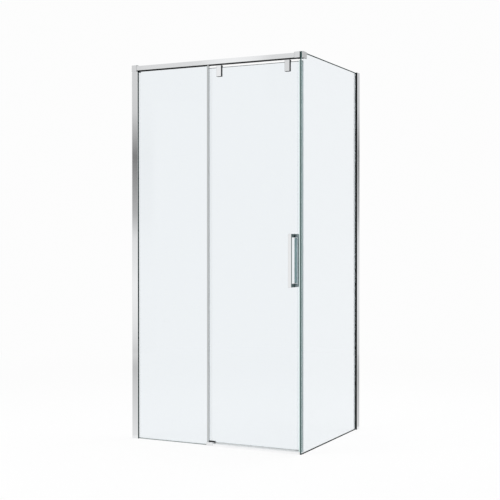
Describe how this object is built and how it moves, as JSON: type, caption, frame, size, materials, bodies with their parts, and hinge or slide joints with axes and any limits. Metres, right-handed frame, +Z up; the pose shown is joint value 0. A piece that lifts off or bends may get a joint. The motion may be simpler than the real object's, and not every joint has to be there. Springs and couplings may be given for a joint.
{
  "type": "corner shower enclosure",
  "caption": "Corner shower enclosure: fixed glass pane, top-hung sliding glass door on a bright header rail, glass return pane, wall posts and a back-to-back square handle.",
  "frame": {"origin": "on the floor, under the middle of the whole object's box", "axes": "+X to the right along the door front, +Y back along the return pane, +Z up"},
  "size_m": [1, 0.8156, 2],
  "materials": {
    "clear_glass": "clear toughened, polished edges",
    "bright_aluminium": "polished",
    "plain_aluminium": "mill",
    "chrome": "polished",
    "black_rubber": "matt",
    "clear_vinyl": "clear",
    "black_nylon": "matt",
    "white_nylon": "satin",
    "steel": "turned",
    "magnet_strip": "matt"
  },
  "bodies": {
    "frame": {"corner_cap": "chrome", "corner_inner_gasket": "black_rubber", "corner_outer_gasket": "black_rubber", "front_edge_profile": "bright_aluminium", "front_edge_wiper": "clear_vinyl", "front_glass": "clear_glass", "front_glass_post": "bright_aluminium", "front_post_bead": "clear_vinyl", "front_post_gaskets": "black_rubber", "front_sill_seal": "clear_vinyl", "front_wall_channel": "plain_aluminium", "guide_base": "chrome", "guide_insert": "black_nylon", "header_rail": "bright_aluminium", "post_lock_screws": "steel", "rail_buffers": "black_rubber", "rail_corner_block": "chrome", "rail_glass_gasket": "black_rubber", "rail_groove_cover": "black_nylon", "rail_stop": "plain_aluminium", "rail_wall_block": "chrome", "return_glass": "clear_glass", "return_glass_post": "bright_aluminium", "return_post_bead": "clear_vinyl", "return_post_gaskets": "black_rubber", "return_post_plug": "black_nylon", "return_sill_seal": "black_rubber", "return_wall_channel": "plain_aluminium", "stop_screw": "steel", "strike_jamb": "bright_aluminium", "strike_magnet": "magnet_strip", "threshold_bar": "bright_aluminium"},
    "door": {"door_glass": "clear_glass", "hanger_left": "chrome", "hanger_right": "chrome", "clamp_left": "chrome", "clamp_right": "chrome", "hanger_pads": "black_rubber", "clamp_bolts": "steel", "hanger_studs": "steel", "carriage_left": "steel", "carriage_right": "steel", "handle_outer": "chrome", "handle_inner": "chrome", "handle_pads": "black_rubber", "door_seal": "clear_vinyl", "door_magnet": "magnet_strip"},
    "wheelset_left_a": {"wheelset_left_a": "white_nylon"},
    "wheelset_left_b": {"wheelset_left_b": "white_nylon"},
    "wheelset_right_a": {"wheelset_right_a": "white_nylon"},
    "wheelset_right_b": {"wheelset_right_b": "white_nylon"}
  },
  "joints": [
    {"name": "door_slide", "type": "slide", "parent": "frame", "child": "door", "axis": [-1, 0, 0], "range_m": [0, 0.4]},
    {"name": "wheel_left_a", "type": "hinge", "parent": "door", "child": "wheelset_left_a", "pos_m": [0.0025, -0.36175, 1.9821], "axis": [0, -1, 0], "continuous": true},
    {"name": "wheel_left_b", "type": "hinge", "parent": "door", "child": "wheelset_left_b", "pos_m": [0.0305, -0.36175, 1.9821], "axis": [0, -1, 0], "continuous": true},
    {"name": "wheel_right_a", "type": "hinge", "parent": "door", "child": "wheelset_right_a", "pos_m": [0.389, -0.36175, 1.9821], "axis": [0, -1, 0], "continuous": true},
    {"name": "wheel_right_b", "type": "hinge", "parent": "door", "child": "wheelset_right_b", "pos_m": [0.417, -0.36175, 1.9821], "axis": [0, -1, 0], "continuous": true}
  ],
  "couplings": [
    {"joint": "wheel_left_a", "follows": "door_slide", "rad_per_m": 105.26},
    {"joint": "wheel_left_b", "follows": "door_slide", "rad_per_m": 105.26},
    {"joint": "wheel_right_a", "follows": "door_slide", "rad_per_m": 105.26},
    {"joint": "wheel_right_b", "follows": "door_slide", "rad_per_m": 105.26}
  ]
}
